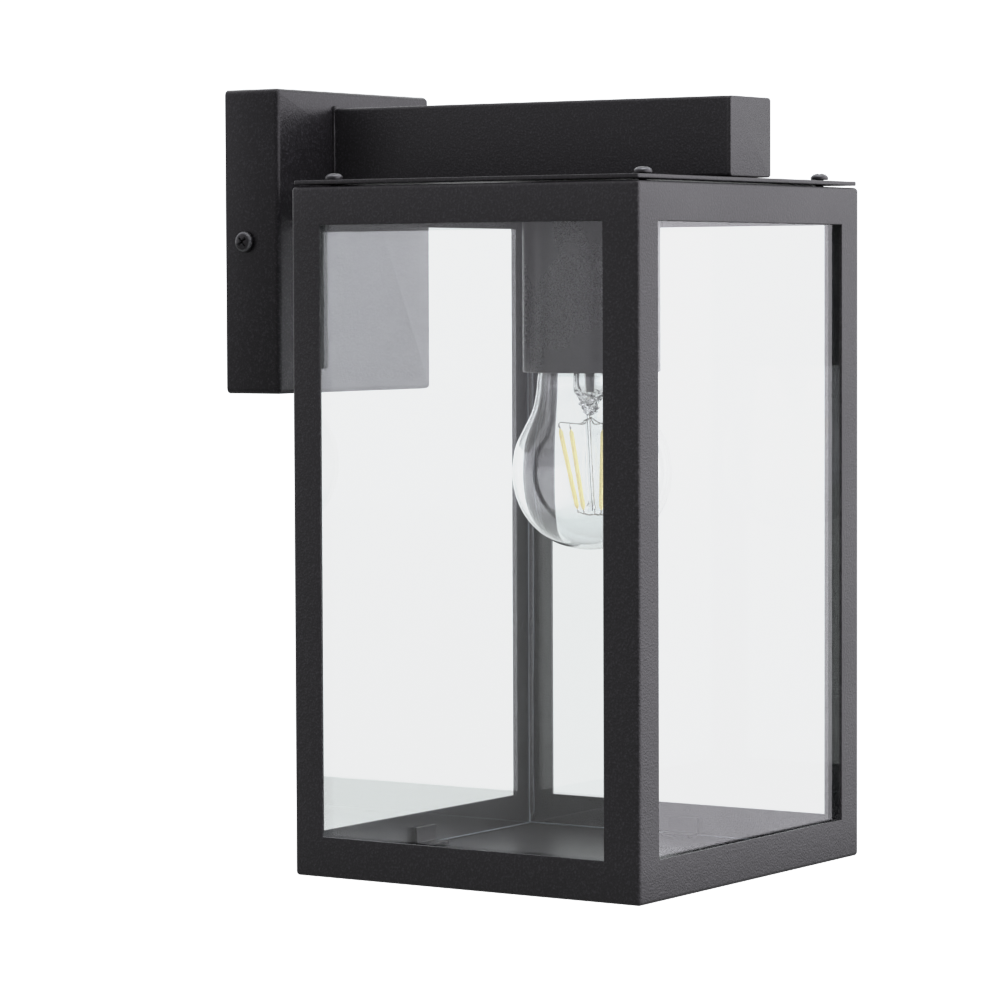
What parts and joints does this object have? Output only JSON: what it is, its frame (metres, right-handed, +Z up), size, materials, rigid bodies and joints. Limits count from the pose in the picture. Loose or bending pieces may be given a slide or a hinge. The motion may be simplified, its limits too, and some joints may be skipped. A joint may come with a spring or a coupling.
{
  "type": "outdoor wall lantern",
  "caption": "Black box lantern on a square wall arm, with clear glass sides, a floor sheet and a clear filament bulb in a screw-cap holder under a round cup.",
  "frame": {"origin": "centre of the back of the wall bracket, on the wall plane", "axes": "+Y into the wall, +Z up, +X to the right of a viewer who faces the wall; the lantern stands out towards -Y"},
  "size_m": [0.158, 0.2025, 0.292],
  "materials": {
    "black_powder_coat": "fine textured satin black powder coat on steel",
    "black_screw": "black oxide steel, worn bright on the edges",
    "clear_glass": "clear float glass, faint green-grey edge",
    "bulb_glass": "thin clear blown glass",
    "zinc_steel": "bright zinc plate",
    "nickel": "nickel plate",
    "brass": "plain brass",
    "black_resin": "moulded black phenolic resin",
    "terminal_resin": "natural nylon moulding",
    "live_sleeve": "brown silicone sleeve",
    "neutral_sleeve": "blue silicone sleeve",
    "earth_sleeve": "green and yellow sleeve",
    "phosphor": "yellow silicone phosphor over LED chips"
  },
  "bodies": {
    "bracket": {"arm": "black_powder_coat", "arm_end": "black_powder_coat", "arm_nut": "zinc_steel", "cup_nut": "zinc_steel", "earth_screw": "brass", "lampholder_body": "black_resin", "lampholder_contact": "brass", "lampholder_cup": "black_powder_coat", "lampholder_shell": "brass", "plate_screw_left": "black_screw", "plate_screw_right": "black_screw", "terminal_block": "terminal_resin", "terminal_screw_earth": "brass", "terminal_screw_live": "brass", "terminal_screw_neutral": "brass", "threaded_tube": "zinc_steel", "top_screw_front_left": "black_screw", "top_screw_front_right": "black_screw", "top_screw_rear_left": "black_screw", "top_screw_rear_right": "black_screw", "top_sheet": "black_powder_coat", "wall_bracket": "zinc_steel", "wall_plate": "black_powder_coat", "wire_earth": "earth_sleeve", "wire_live": "live_sleeve", "wire_neutral": "neutral_sleeve"},
    "cage": {"bottom_rail_front": "black_powder_coat", "bottom_rail_left": "black_powder_coat", "bottom_rail_rear": "black_powder_coat", "bottom_rail_right": "black_powder_coat", "floor_sheet": "black_powder_coat", "pane_clip_front": "black_powder_coat", "pane_clip_left": "black_powder_coat", "pane_clip_rear": "black_powder_coat", "pane_clip_right": "black_powder_coat", "pane_front": "clear_glass", "pane_left": "clear_glass", "pane_rear": "clear_glass", "pane_right": "clear_glass", "post_front_left": "black_powder_coat", "post_front_right": "black_powder_coat", "post_rear_left": "black_powder_coat", "post_rear_right": "black_powder_coat", "top_rail_front": "black_powder_coat", "top_rail_left": "black_powder_coat", "top_rail_rear": "black_powder_coat", "top_rail_right": "black_powder_coat"},
    "bulb": {"bulb_cap": "nickel", "bulb_centre_wire": "nickel", "bulb_glass": "bulb_glass", "bulb_insulator": "black_resin", "bulb_lead_left": "nickel", "bulb_lead_right": "nickel", "bulb_stem": "bulb_glass", "bulb_tip": "nickel", "filament_1": "phosphor", "filament_2": "phosphor", "filament_3": "phosphor", "filament_4": "phosphor"}
  },
  "joints": [
    {"name": "cage_lower", "type": "slide", "parent": "bracket", "child": "cage", "axis": [0, 0, -1], "range_m": [0, 0.16]},
    {"name": "bulb_unscrew", "type": "slide", "parent": "bracket", "child": "bulb", "axis": [0, 0, -1], "range_m": [0, 0.03]}
  ]
}
